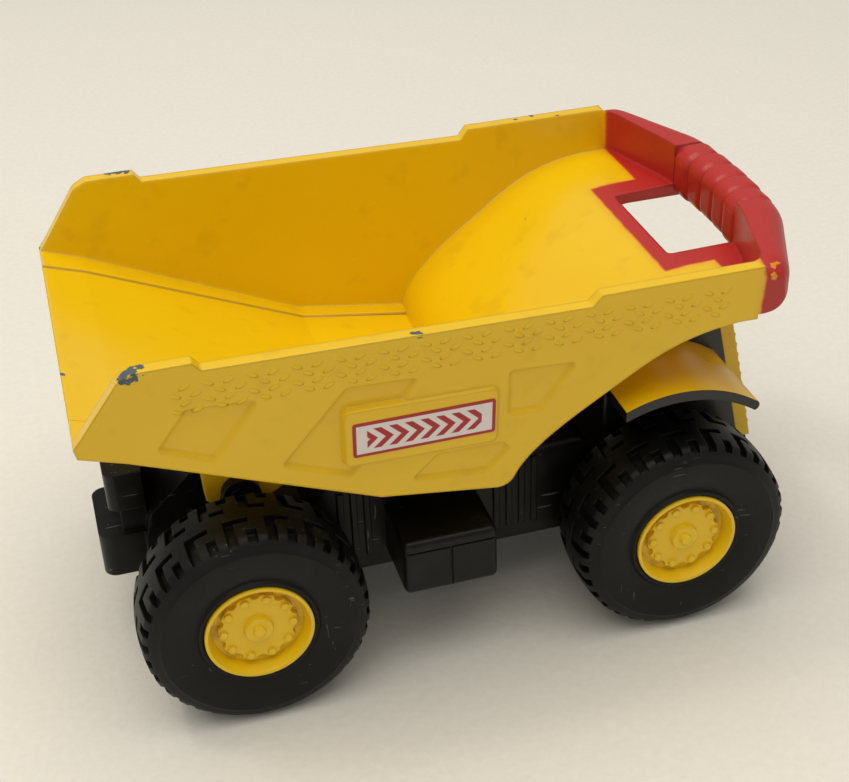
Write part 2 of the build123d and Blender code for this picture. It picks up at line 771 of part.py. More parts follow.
for end, axle_x in (("front", front_axle_x), ("rear", rear_axle_x)):
    for side_name, side in (("right", -1), ("left", 1)):
        save(place_wheel(hub_blank.part, axle_x, side), f"hub_{end}_{side_name}")
        save(place_wheel(tyre_blank.part, axle_x, side), f"tyre_{end}_{side_name}")

    with BuildPart() as axle:
        with Locations(Location((axle_x, 0, tyre_radius), (90, 0, 0))):
            Cylinder(axle_radius, 2 * (wheel_y - wheel_face + 1.2 + axle_seat_depth))
    save(axle.part, f"{end}_axle")

# ------------------------------------------------------------ bed pivot pin, with a flat head at both ends
pin_head_radius = 2.4
pin_head_thickness = 0.6

with BuildPart() as bed_pivot_pin:
    with Locations(Location((pivot_x, 0, pivot_height), (90, 0, 0))):
        Cylinder(pin_radius, 2 * chassis_half_width)
    for side in (-1, 1):
        head_y = side * (chassis_half_width + pin_head_thickness / 2)
        with Locations(Location((pivot_x, head_y, pivot_height), (90, 0, 0))):
            Cylinder(pin_head_radius, pin_head_thickness)

save(bed_pivot_pin.part, "bed_pivot_pin")
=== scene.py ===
# %% [markdown]
# # A toy dump truck, dressed for its portrait
# The truck is already designed and fitted together: a tipping bed cast in zinc, a moulded black chassis, a cab
# and four wheels. This lesson gives every surface its finish and adds the small things that a casting or a
# mould carries, such as tread-plate marks and tyre lugs. Each step says what the real piece is, how it could
# be made in Blender, and why one way was picked.

# %% Load the design
import math

import bmesh
import bpy
from mathutils import Matrix, Vector


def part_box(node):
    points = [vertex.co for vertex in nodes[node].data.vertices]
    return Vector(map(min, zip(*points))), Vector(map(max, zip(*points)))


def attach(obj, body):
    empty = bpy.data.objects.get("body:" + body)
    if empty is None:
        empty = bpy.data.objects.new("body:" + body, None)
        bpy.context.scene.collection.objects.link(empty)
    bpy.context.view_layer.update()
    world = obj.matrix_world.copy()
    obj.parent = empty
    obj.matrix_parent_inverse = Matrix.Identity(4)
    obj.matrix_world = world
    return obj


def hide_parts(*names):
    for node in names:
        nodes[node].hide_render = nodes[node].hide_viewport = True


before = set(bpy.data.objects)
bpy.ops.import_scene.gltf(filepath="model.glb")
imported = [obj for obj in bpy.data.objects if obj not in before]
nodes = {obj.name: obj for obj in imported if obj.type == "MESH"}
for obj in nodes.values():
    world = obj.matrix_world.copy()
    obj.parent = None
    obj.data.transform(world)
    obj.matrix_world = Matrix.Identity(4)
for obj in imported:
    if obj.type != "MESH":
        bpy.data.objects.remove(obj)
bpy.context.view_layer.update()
MM = 0.001

# %% [markdown]
# ## Camera
# The truck is seen from its right side and a little behind, from above, by a hand-held camera that leans
# slightly. A camera object can be aimed with a constraint, but three direction vectors say the lean exactly,
# and they stay put when the file is opened again.

# %% Camera
AZIMUTH = math.radians(-15.022)
ELEVATION = math.radians(32.752)
LEAN = math.radians(-2.266)
CAMERA_PLACE = Vector((-60.78, -229.75, 191.41)) * MM
LENS_MM = 64.196

back = Vector((
    math.sin(AZIMUTH) * math.cos(ELEVATION),
    -math.cos(AZIMUTH) * math.cos(ELEVATION),
    math.sin(ELEVATION),
))
level_right = Vector((math.cos(AZIMUTH), math.sin(AZIMUTH), 0.0))
level_up = back.cross(level_right)
camera_right = level_right * math.cos(LEAN) + level_up * math.sin(LEAN)
camera_up = back.cross(camera_right)

camera_data = bpy.data.cameras.new("camera")
camera_data.sensor_width = 36.0
camera_data.lens = LENS_MM
camera_data.clip_start = 0.01
camera_data.clip_end = 20.0
camera = bpy.data.objects.new("camera", camera_data)
bpy.context.scene.collection.objects.link(camera)
axes = Matrix((camera_right, camera_up, back)).transposed().to_4x4()
camera.matrix_world = Matrix.Translation(CAMERA_PLACE) @ axes
bpy.context.scene.camera = camera
print("camera", [round(v, 3) for v in CAMERA_PLACE], "looks along", [round(-v, 3) for v in back])

# %% [markdown]
# ## A helper for materials
# A material is a small graph. Each node needs its kind, its own settings, and what feeds its sockets. One
# function does all of that, so a material below reads as a list of steps. Colours are written as the sRGB hex
# values that a paint chart would give, and turned to the linear values that light is worked out in.


# %% Material helpers
def linear(hex_colour):
    """An sRGB hex colour as linear red, green, blue and an alpha of 1."""
    channels = [int(hex_colour[i:i + 2], 16) / 255 for i in (1, 3, 5)]
    return [c / 12.92 if c <= 0.04045 else ((c + 0.055) / 1.055) ** 2.4 for c in channels] + [1.0]


def add(tree, kind, inputs=None, **settings):
    """Add a node. An input is a number, a colour, or the socket that it is linked from."""
    made = tree.nodes.new(kind)
    for name, value in settings.items():
        setattr(made, name, value)
    for name, value in (inputs or {}).items():
        if isinstance(value, bpy.types.NodeSocket):
            tree.links.new(value, made.inputs[name])
        else:
            made.inputs[name].default_value = value
    return made


def new_material(name):
    """An empty material with its shader, its output, and the place on the piece that patterns read."""
    made = bpy.data.materials.new(name)
    made.use_nodes = True
    tree = made.node_tree
    tree.nodes.clear()
    shader = add(tree, "ShaderNodeBsdfPrincipled")
    output = add(tree, "ShaderNodeOutputMaterial", {"Surface": shader.outputs[0]})
    output.is_active_output = True
    place = add(tree, "ShaderNodeTexCoord").outputs["Object"]
    return made, tree, shader, place


def per_metre(size_mm):
    """The scale of a noise whose blobs are about this many millimetres across."""
    return 1000.0 / size_mm


def noise(tree, place, size_mm, detail=3.0, stretch=(1, 1, 1)):
    """Values from 0 to 1 that vary over about this size. A stretch under 1 draws blobs out along an axis."""
    turned = add(tree, "ShaderNodeMapping", {"Vector": place, "Scale": stretch})
    return add(tree, "ShaderNodeTexNoise", {
        "Vector": turned.outputs[0], "Scale": per_metre(size_mm), "Detail": detail,
    }).outputs["Fac"]


def maths(tree, operation, first, second=0.0, clamp=False):
    return add(tree, "ShaderNodeMath", {0: first, 1: second}, operation=operation, use_clamp=clamp).outputs[0]


def swing(tree, value, amount):
    """Turn values from 0 to 1 into values that swing half this amount either way about 0."""
    return maths(tree, "MULTIPLY", maths(tree, "SUBTRACT", value, 0.5), amount)


def uneven(tree, value, share, base):
    """The base, raised by a share of a value from 0 to 1, as a handled surface's roughness is."""
    return maths(tree, "ADD", maths(tree, "MULTIPLY", value, share), base)


def step_up(tree, value, low, high):
    """0 below low, 1 above high, and a smooth ramp between them. With low above high it falls instead."""
    made = add(tree, "ShaderNodeMapRange", {
        "Value": value, "From Min": min(low, high), "From Max": max(low, high),
    }, interpolation_type="SMOOTHSTEP")
    if low > high:
        made.inputs["To Min"].default_value = 1.0
        made.inputs["To Max"].default_value = 0.0
    return made.outputs["Result"]


def blend_colour(tree, share, first, second):
    """The first colour where the share is 0 and the second where it is 1."""
    made = add(tree, "ShaderNodeMix", {"Factor": share}, data_type="RGBA")
    for socket, value in ((made.inputs[6], first), (made.inputs[7], second)):
        if isinstance(value, bpy.types.NodeSocket):
            tree.links.new(value, socket)
        else:
            socket.default_value = value
    return made.outputs[2]


def soft_edges(tree, radius_mm):
    """A shading normal that rolls over every edge, as thick paint or a mould's rounded corner does."""
    return add(tree, "ShaderNodeBevel", {"Radius": radius_mm * MM}, samples=6).outputs[0]


def bump(tree, height, depth_mm, normal=None):
    """Turn a height from 0 to 1 into a shading normal of that real depth."""
    inputs = {"Height": height, "Distance": depth_mm * MM, "Strength": 1.0}
    if normal is not None:
        inputs["Normal"] = normal
    return add(tree, "ShaderNodeBump", inputs).outputs[0]


def object_from(shape, name, material, smooth=True):
    """Turn a finished bmesh into an object in the scene, with one material."""
    mesh = bpy.data.meshes.new(name)
    shape.to_mesh(mesh)
    shape.free()
    for polygon in mesh.polygons:
        polygon.use_smooth = smooth
    mesh.materials.append(material)
    made = bpy.data.objects.new(name, mesh)
    bpy.context.scene.collection.objects.link(made)
    return made


def finish_piece(piece_names, material):
    """Put a material on CAD nodes by assigning it to their material slots."""
    for name in piece_names:
        mesh = nodes[name].data
        if not mesh.materials:
            mesh.materials.append(material)
        for i in range(len(mesh.materials)):
            mesh.materials[i] = material


# %% [markdown]
# ## Enamel on the die-cast bed
# The bed is one zinc casting, sprayed with a thick glossy yellow enamel. Over a mask, its handle and the rim
# of the finger hole were then sprayed red, and some red mist got past the mask. Years of play knocked the
# paint off the corners, down to the dark primer, and rubbed the red through to the yellow at one end of the
# handle. The red area could be a second material on chosen faces, but the mask cuts across faces, so it is
# drawn from places on the piece. The chips and the rubbed spots are worked out the same way.

# %% Where the paint changes, in millimetres
ENAMEL_ROUNDING_MM = 0.8
MARK_ROUNDING_MM = 0.12
RED_FROM_X = 49.4
MASK_WANDER_MM = 0.45
MASK_SPREAD_MM = 0.34
MIST_SPREAD_MM = 1.9
MIST_STRENGTH = 0.62
HOLE_MASK = {"rear": 40.2, "half_width": 17.6, "top": 68.2}
CHIPS = [
    # place, and radius
    ((-48.4, 36.2, 74.4), 1.0), ((-46.8, 36.1, 74.6), 1.1), ((-45.3, 35.6, 74.6), 0.9),
    ((-54.9, 36.0, 72.4), 0.8), ((-53.8, 36.0, 73.4), 0.8),
    ((-61.6, 35.2, 64.2), 0.6), ((-62.4, 35.2, 62.9), 0.7), ((-63.2, 34.4, 62.6), 0.6),
    ((-54.4, -35.8, 74.2), 1.2), ((-53.2, -35.4, 74.5), 1.4), ((-52.0, -34.8, 74.6), 1.0),
    ((-10.2, -35.2, 72.4), 0.7), ((-9.2, -35.5, 72.4), 0.7),
    ((-63.3, -12.0, 62.4), 0.6),
    ((31.2, 35.4, 74.1), 0.5), ((34.6, 36.0, 74.1), 0.5), ((39.6, 34.4, 73.6), 0.6),
]
RUBS = [
    # where the red is rubbed through to the yellow: place, and radius
    ((51.2, -35.2, 74.0), 0.9), ((52.6, -34.8, 74.0), 0.7), ((50.8, -35.9, 71.8), 0.7),
]
SCUFFS = [
    # two ends of a rubbed line, and its half width
    ((25.0, 18.4, 60.4), (31.4, 20.4, 60.6), 0.28),
    ((26.8, 7.2, 61.6), (30.6, 5.0, 62.6), 0.22),
    ((37.4, 33.4, 73.2), (43.4, 33.0, 72.6), 0.35),
]


def near_point(tree, place, centre, radius):
    """How close a place is to a point: 1 at the point, 0 at the radius."""
    gap = add(tree, "ShaderNodeVectorMath", {0: place, 1: Vector(centre) * MM},
              operation="DISTANCE").outputs["Value"]
    return maths(tree, "SUBTRACT", 1.0, maths(tree, "DIVIDE", gap, radius * MM))


def near_line(tree, place, first, second, half_width):
    """How close a place is to the line between two points, fading out past its ends."""
    start = Vector(first) * MM
    run = Vector(second) * MM - start
    from_start = add(tree, "ShaderNodeVectorMath", {0: place, 1: start}, operation="SUBTRACT").outputs[0]
    along = add(tree, "ShaderNodeVectorMath", {0: from_start, 1: run / run.length_squared},
                operation="DOT_PRODUCT").outputs["Value"]
    kept = add(tree, "ShaderNodeClamp", {"Value": along}).outputs[0]
    foot = add(tree, "ShaderNodeVectorMath", {0: run, "Scale": kept}, operation="SCALE").outputs[0]
    gap = add(tree, "ShaderNodeVectorMath", {0: from_start, 1: foot}, operation="DISTANCE").outputs["Value"]
    return maths(tree, "SUBTRACT", 1.0, maths(tree, "DIVIDE", gap, half_width * MM))


def worn_spots(tree, place, spots, torn):
    """1 within the listed spots and 0 elsewhere, with torn edges."""
    nearest = -9.0
    for centre, radius in spots:
        nearest = maths(tree, "MAXIMUM", nearest, near_point(tree, place, centre, radius * 1.35))
    return step_up(tree, maths(tree, "ADD", nearest, torn), 0.30, 0.36)


# %% The bed's enamel
def make_enamel(name, rounding_mm):
    """Sprayed gloss enamel on cast zinc: a clear, slightly wavy gloss, rounded this much over every edge."""
    material, tree, shader, place = new_material(name)
    axis = add(tree, "ShaderNodeSeparateXYZ", {"Vector": place}).outputs
    # the mask's edge wanders by a fraction of a millimetre, as spray does past a loose stencil
    wander = swing(tree, noise(tree, place, 2.2, 4.0), MASK_WANDER_MM * MM)
    along = maths(tree, "ADD", axis[0], wander)
    across = maths(tree, "ADD", maths(tree, "ABSOLUTE", axis[1]), wander)

    def red_within(spread_mm):
        """The red area, with an edge this soft."""
        spread = spread_mm * MM
        ahead = step_up(tree, along, RED_FROM_X * MM - spread, RED_FROM_X * MM + spread)
        behind = step_up(tree, along, HOLE_MASK["rear"] * MM - spread, HOLE_MASK["rear"] * MM + spread)
        side = HOLE_MASK["half_width"] * MM
        inside = step_up(tree, across, side + spread, side - spread)
        low = step_up(tree, axis[2], HOLE_MASK["top"] * MM + MM, HOLE_MASK["top"] * MM)
        ring = maths(tree, "MULTIPLY", maths(tree, "MULTIPLY", behind, inside), low)
        return maths(tree, "MAXIMUM", ahead, ring)

    torn = swing(tree, noise(tree, place, 0.9, 4.0), 1.7)
    red = maths(tree, "SUBTRACT", red_within(MASK_SPREAD_MM), worn_spots(tree, place, RUBS, torn), clamp=True)
    mist = maths(tree, "MULTIPLY", red_within(MIST_SPREAD_MM), MIST_STRENGTH)
    # broad drift in the yellow, and a thin dirty film in patches all over
    drift = noise(tree, place, 24.0, 2.0)
    yellow = blend_colour(tree, drift, linear("#E2B602"), linear("#EBC104"))
    grime = maths(tree, "MULTIPLY", step_up(tree, noise(tree, place, 6.0, 6.0), 0.56, 0.74), 0.16)
    yellow = blend_colour(tree, grime, yellow, linear("#A87C12"))
    yellow = blend_colour(tree, mist, yellow, linear("#DB5A12"))
    grain = noise(tree, place, 0.45, 2.0)
    red_paint = blend_colour(tree, grain, linear("#A0150F"), linear("#BE221B"))
    colour = blend_colour(tree, red, yellow, red_paint)

    # rubbed lines, where the gloss is scratched to a dull brown
    scuffed = -9.0
    for first, second, half_width in SCUFFS:
        scuffed = maths(tree, "MAXIMUM", scuffed, near_line(tree, place, first, second, half_width))
    broken = noise(tree, place, 1.1, 5.0)
    scuffed = step_up(tree, maths(tree, "ADD", scuffed, maths(tree, "SUBTRACT", broken, 0.5)), 0.35, 0.55)
    colour = blend_colour(tree, maths(tree, "MULTIPLY", scuffed, 0.75), colour, linear("#6E5216"))

    # chips, with torn edges
    chipped = worn_spots(tree, place, CHIPS, torn)
    primer = blend_colour(tree, noise(tree, place, 0.5, 3.0), linear("#2E3A44"), linear("#5A6870"))
    colour = blend_colour(tree, chipped, colour, primer)
    tree.links.new(colour, shader.inputs["Base Color"])

    # the red is satin, the yellow glossy, the primer and the scuffs dull
    smear = maths(tree, "MULTIPLY", noise(tree, place, 9.0, 5.0), 0.12)
    rough = maths(tree, "ADD", uneven(tree, red, 0.20, 0.19), smear)
    rough = maths(tree, "ADD", rough, maths(tree, "MULTIPLY", chipped, 0.32))
    rough = maths(tree, "ADD", rough, maths(tree, "MULTIPLY", scuffed, 0.25), clamp=True)
    tree.links.new(rough, shader.inputs["Roughness"])
    shader.inputs["IOR"].default_value = 1.5
    shader.inputs["Coat Weight"].default_value = 0.10
    shader.inputs["Coat Roughness"].default_value = 0.12

    # orange peel of the spray, the red's grain, and the step down into a chip
    normal = bump(tree, noise(tree, place, 3.2, 2.0), 0.035, soft_edges(tree, rounding_mm))
    normal = bump(tree, maths(tree, "MULTIPLY", grain, red), 0.035, normal)
    normal = bump(tree, maths(tree, "SUBTRACT", 1.0, chipped), 0.10, normal)
    tree.links.new(normal, shader.inputs["Normal"])
    return material


enamel = make_enamel("sprayed_gloss_enamel_on_cast_zinc", ENAMEL_ROUNDING_MM)
# the small cast marks have a smaller rounding, so that the paint does not level them
mark_enamel = make_enamel("sprayed_gloss_enamel_on_cast_marks", MARK_ROUNDING_MM)
finish_piece(["dump_bed"], enamel)
print("enamel:", len(enamel.node_tree.nodes), "nodes,", len(CHIPS), "chips")

# %% [markdown]
# ## Black chassis plastic
# The chassis, base and toolboxes are moulded in black plastic with a satin skin. It could be left plain black,
# but handling leaves fine pale scratches that catch the light, and dust in the corners, and these tell the eye
# how big the toy is. Both are noise: long thin blobs for scratches, and round soft ones for dust.


# %% Black plastics
def make_black_plastic(name, roughness, scratch_strength, grain_mm, grain_depth_mm):
    """Moulded black plastic: dark satin with a fine grain, pale hairline scratches and a little dust."""
    material, tree, shader, place = new_material(name)
    dust = step_up(tree, noise(tree, place, 7.0, 6.0), 0.50, 0.80)
    base = blend_colour(tree, noise(tree, place, 14.0, 2.0), linear("#060606"), linear("#0B0C0B"))
    colour = blend_colour(tree, maths(tree, "MULTIPLY", dust, 0.12), base, linear("#4B4A44"))
    # two families of scratches, drawn out along different directions
    lines = 0.0
    for size, stretch in ((0.7, (0.10, 1, 1)), (0.6, (1, 1, 0.12))):
        streak = step_up(tree, noise(tree, place, size, 1.0, stretch), 0.725, 0.75)
        lines = maths(tree, "MAXIMUM", lines, streak)
    worn = step_up(tree, noise(tree, place, 11.0, 2.0), 0.46, 0.62)
    lines = maths(tree, "MULTIPLY", maths(tree, "MULTIPLY", lines, worn), scratch_strength)
    colour = blend_colour(tree, lines, colour, linear("#8C8C88"))
    tree.links.new(colour, shader.inputs["Base Color"])
    smear = maths(tree, "MULTIPLY", noise(tree, place, 5.0, 5.0), 0.18)
    rough = maths(tree, "ADD", maths(tree, "ADD", smear, roughness), maths(tree, "MULTIPLY", dust, 0.15),
                  clamp=True)
    tree.links.new(rough, shader.inputs["Roughness"])
    shader.inputs["IOR"].default_value = 1.5
    shader.inputs["Specular IOR Level"].default_value = 0.24
    normal = bump(tree, noise(tree, place, grain_mm, 2.0), grain_depth_mm, soft_edges(tree, 0.3))
    normal = bump(tree, lines, 0.02, normal)
    tree.links.new(normal, shader.inputs["Normal"])
    return material


black_plastic = make_black_plastic("moulded_black_polypropylene", 0.26, 0.38, 1.2, 0.018)
finish_piece(["chassis_frame", "base_plate", "toolbox_right", "toolbox_left"], black_plastic)
tyre_plastic = make_black_plastic("moulded_black_pvc_tyre", 0.38, 0.22, 0.8, 0.022)
smoked_plastic = make_black_plastic("moulded_smoked_window_plastic", 0.10, 0.15, 3.0, 0.004)
finish_piece(["cab_windows"], smoked_plastic)
print("black plastics:", black_plastic.name, tyre_plastic.name, smoked_plastic.name)

# %% [markdown]
# ## Painted cab
# The cab, hood and fenders are black plastic too, with yellow sprayed from above, so the paint thins out on
# the sides and its edge is ragged. The share of paint is worked out from how far a face looks up, with noise
# for the ragged edge. The grille is a piece of its own, painted all over.


# %% Painted plastics
def make_painted_plastic(name, from_above):
    """Yellow spray paint on black plastic, bare where the spray didn't reach."""
    material, tree, shader, place = new_material(name)
    drift = noise(tree, place, 12.0, 3.0)
    yellow = blend_colour(tree, drift, linear("#E0B204"), linear("#E9BE06"))
    black = linear("#141414")
    if from_above:
        facing = add(tree, "ShaderNodeNewGeometry").outputs["Normal"]
        up = add(tree, "ShaderNodeSeparateXYZ", {"Vector": facing})
        ragged = swing(tree, noise(tree, place, 1.6, 5.0), 0.5)
        bare = step_up(tree, maths(tree, "ADD", up.outputs[2], ragged), 0.42, 0.30)
    else:
        bare = step_up(tree, noise(tree, place, 1.3, 5.0), 0.70, 0.72)
    tree.links.new(blend_colour(tree, bare, yellow, black), shader.inputs["Base Color"])
    tree.links.new(uneven(tree, noise(tree, place, 5.0, 5.0), 0.16, 0.22), shader.inputs["Roughness"])
    shader.inputs["IOR"].default_value = 1.5
    normal = bump(tree, noise(tree, place, 2.0, 2.0), 0.03, soft_edges(tree, 0.3))
    normal = bump(tree, maths(tree, "SUBTRACT", 1.0, bare), 0.06, normal)
    tree.links.new(normal, shader.inputs["Normal"])
    return material


finish_piece(["cab_shell"], make_painted_plastic("spray_painted_black_plastic_cab", True))
finish_piece(["front_grille"], make_painted_plastic("spray_painted_plastic_grille", False))

# %% [markdown]
# ## Wheel hubs
# Each hub is moulded in yellow plastic all through, so it has no edge of paint to lose. Where its dish meets the
# disc, a patchy darker ring is painted in as the shade of that corner. A pointiness or ambient-occlusion node
# would find such corners, but the export would have to bake it, so the painted shade is drawn by distance from
# the axle instead.


# %% Hub plastic
def make_hub_plastic():
    """Glossy moulded plastic, coloured through, with painted shade darkening the corner where the dish meets the
    disc.
    """
    material, tree, shader, place = new_material("moulded_yellow_abs_hub")
    drift = noise(tree, place, 6.0, 3.0)
    clean = blend_colour(tree, drift, linear("#E6BC0A"), linear("#EFC810"))
    axis = add(tree, "ShaderNodeSeparateXYZ", {"Vector": place}).outputs
    # the two axles stand alike about the middle of the truck, so the front hub's centre does for all four
    ends = [(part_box(f"hub_{end}_right")[0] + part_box(f"hub_{end}_right")[1]) / 2 for end in ("front", "rear")]
    sideways = maths(tree, "SUBTRACT", maths(tree, "ABSOLUTE", axis[0]), ends[0].x)
    height = maths(tree, "SUBTRACT", axis[2], ends[0].z)
    square = maths(tree, "ADD", maths(tree, "POWER", sideways, 2.0), maths(tree, "POWER", height, 2.0))
    radius = maths(tree, "SQRT", square)
    ring = step_up(tree, radius, 6.2 * MM, 7.0 * MM)
    ring = maths(tree, "MULTIPLY", ring, step_up(tree, radius, 8.4 * MM, 7.4 * MM))
    patchy = step_up(tree, noise(tree, place, 2.6, 5.0), 0.44, 0.66)
    # the patchy ring is darkened towards brown: painted shade in the corner between the dish and the disc
    painted_corner_shade = maths(tree, "MULTIPLY", maths(tree, "MULTIPLY", ring, patchy), 0.40)
    colour = blend_colour(tree, painted_corner_shade, clean, linear("#8A6312"))
    tree.links.new(colour, shader.inputs["Base Color"])
    tree.links.new(uneven(tree, noise(tree, place, 4.0, 4.0), 0.14, 0.24), shader.inputs["Roughness"])
    shader.inputs["IOR"].default_value = 1.53
    soft = soft_edges(tree, 0.25)
    tree.links.new(bump(tree, noise(tree, place, 2.0, 2.0), 0.02, soft), shader.inputs["Normal"])
    return material


hub_names = [f"hub_{end}_{side}" for end in ("front", "rear") for side in ("right", "left")]
finish_piece(hub_names, make_hub_plastic())
print("hubs:", hub_names)

# %% [markdown]
# ## Steel pieces
# The axles are plain drawn wire, the base screws are zinc plated, and the bed's pivot pin is blackened. Drawn
# wire has fine lines along its length, so its noise is stretched along the axle.


# %% Metals
def make_metal(name, colour, roughness, stretch):
    """Bright metal: all of its colour is in its reflection, with fine lines along the stretched axis."""
    material, tree, shader, place = new_material(name)
    tint = noise(tree, place, 0.8, 4.0, stretch)
    tree.links.new(blend_colour(tree, tint, linear(colour), linear("#5C5C5A")), shader.inputs["Base Color"])
    shader.inputs["Metallic"].default_value = 1.0
    tree.links.new(uneven(tree, tint, 0.22, roughness), shader.inputs["Roughness"])
    tree.links.new(bump(tree, tint, 0.01), shader.inputs["Normal"])
    return material


finish_piece(["front_axle", "rear_axle"], make_metal("drawn_steel_wire", "#A8A9AB", 0.22, (1, 0.05, 1)))
finish_piece(["base_screws"], make_metal("zinc_plated_steel", "#BFC0BE", 0.24, (1, 1, 1)))
# black oxide hides the steel under it, so the pin is finished in the same way as the black plastics
finish_piece(["bed_pivot_pin"], make_black_plastic("blackened_steel_pin", 0.22, 0.5, 1.5, 0.01))

# %% [markdown]
# ## Side labels
# A printed label sits on a raised plate on each side of the bed: off-white, with a red border. Its print here
# is a plain row of chevrons. They could be cut as geometry, but ink has no thickness that shows, so the border
# and the chevrons are drawn in the label's material from the place along and up the label.


# %% Label print
def make_label(node_name):
    """Printed vinyl label: off-white, a red line round the edge, and a row of red chevrons."""
    material, tree, shader, place = new_material("printed_vinyl_label")
    low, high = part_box(node_name)
    centre = (low + high) / 2
    half = (high - low) / 2
    axis = add(tree, "ShaderNodeSeparateXYZ", {"Vector": place}).outputs
    along = maths(tree, "SUBTRACT", axis[0], centre.x)
    up = maths(tree, "SUBTRACT", axis[2], centre.z)
    inset_x = maths(tree, "SUBTRACT", half.x, maths(tree, "ABSOLUTE", along))
    inset_z = maths(tree, "SUBTRACT", half.z, maths(tree, "ABSOLUTE", up))
    inset = maths(tree, "MINIMUM", inset_x, inset_z)
    border = step_up(tree, inset, 0.62 * MM, 0.54 * MM)
    # a chevron is a slanted stripe folded about the label's middle line
    pitch = 2.6 * MM
    folded = maths(tree, "ADD", along, maths(tree, "ABSOLUTE", up))
    phase = maths(tree, "FRACT", maths(tree, "DIVIDE", maths(tree, "ADD", folded, 100 * pitch), pitch))
    stripe = step_up(tree, phase, 0.47, 0.50)
    within = maths(tree, "MULTIPLY", step_up(tree, inset_x, 2.3 * MM, 2.4 * MM),
                   step_up(tree, inset_z, 1.35 * MM, 1.42 * MM))
    ink = maths(tree, "MAXIMUM", border, maths(tree, "MULTIPLY", stripe, within))
    aged = blend_colour(tree, noise(tree, place, 5.0, 4.0), linear("#D9CFCB"), linear("#E8E0DA"))
    red_ink = blend_colour(tree, noise(tree, place, 0.5, 3.0), linear("#9E1A26"), linear("#B0202C"))
    tree.links.new(blend_colour(tree, ink, aged, red_ink), shader.inputs["Base Color"])
    tree.links.new(uneven(tree, noise(tree, place, 3.0, 4.0), 0.15, 0.30), shader.inputs["Roughness"])
    shader.inputs["IOR"].default_value = 1.47
    tree.links.new(bump(tree, noise(tree, place, 1.5, 2.0), 0.008), shader.inputs["Normal"])
    return material


label_print = make_label("side_decal_right")
finish_piece(["side_decal_right", "side_decal_left"], label_print)
finish_piece([n for n in nodes if n.startswith("tyre_")], tyre_plastic)

# %% [markdown]
# ## Tyres
# Each tyre is moulded in one piece: a flat sidewall with a raised band near its shoulder, a rounded shoulder,
# and a tread of staggered blocks whose grooves run across from both shoulders and hook along the middle. The
# tread could be cut with booleans, but those leave thin slivers. Spinning the outline round the axle in even
# steps, and then pushing down the faces that lie in a groove, keeps every face a clean four-sided one.

# %% Tyre sizes, read from the design
tyre_low, tyre_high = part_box("tyre_front_right")
TYRE_RADIUS = (tyre_high.z - tyre_low.z) / 2
# the design's box reaches a hair past the tyre's width on each side
TYRE_HALF_WIDTH = (tyre_high.y - tyre_low.y) / 2 - 0.03 * MM
hub_low, hub_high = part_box("hub_front_right")
BEAD_RADIUS = (hub_high.z - hub_low.z) / 2
TREAD_DEPTH = 1.25 * MM
TREAD_PITCHES = 18
RINGS_PER_PITCH = 8
ACROSS_STEPS = 20
CROWN = 0.55 * MM
TREAD_INSET = 1.75 * MM
SHARP_ABOVE = math.radians(35)
print("tyre radius", round(TYRE_RADIUS / MM, 2), "half width", round(TYRE_HALF_WIDTH / MM, 2), "mm")


# %% Tyre mesh
def tyre_profile(side):
    """Half of the tyre's outline from the bead out to the tread's edge, as (radius, place along the axle)."""
    wall = TYRE_HALF_WIDTH
    points = [
        (BEAD_RADIUS, wall - 3.0 * MM),
        (BEAD_RADIUS, wall - 0.9 * MM),
        (BEAD_RADIUS + 0.35 * MM, wall - 0.55 * MM),
        (BEAD_RADIUS + 0.9 * MM, wall - 0.5 * MM),
        (BEAD_RADIUS + 1.3 * MM, wall - 0.95 * MM),
        (BEAD_RADIUS + 2.0 * MM, wall - 0.75 * MM),
        (BEAD_RADIUS + 3.6 * MM, wall - 0.25 * MM),
        (BEAD_RADIUS + 5.6 * MM, wall - 0.05 * MM),
        (TYRE_RADIUS - 3.5 * MM, wall),
        (TYRE_RADIUS - 3.2 * MM, wall - 0.02 * MM),
        (TYRE_RADIUS - 2.9 * MM, wall - 0.30 * MM),
        (TYRE_RADIUS - 2.2 * MM, wall - 0.45 * MM),
        (TYRE_RADIUS - 1.3 * MM, wall - 0.95 * MM),
        (TYRE_RADIUS - CROWN, wall - TREAD_INSET),
    ]
    return [(radius, side * place) for radius, place in points]


def in_groove(turn, across):
    """Whether the tread is cut here. The turn is in pitches, and across runs from -1 to 1 over the tread."""
    row_turn = turn if across > 0 else turn + 0.5
    phase = row_turn % 1.0
    reach = abs(across)
    crossing = phase < 0.26 and reach > 0.20
    hook = phase < 0.62 and 0.20 < reach < 0.42
    notch = 0.56 < phase < 0.74 and reach > 0.74
    return crossing or hook or notch


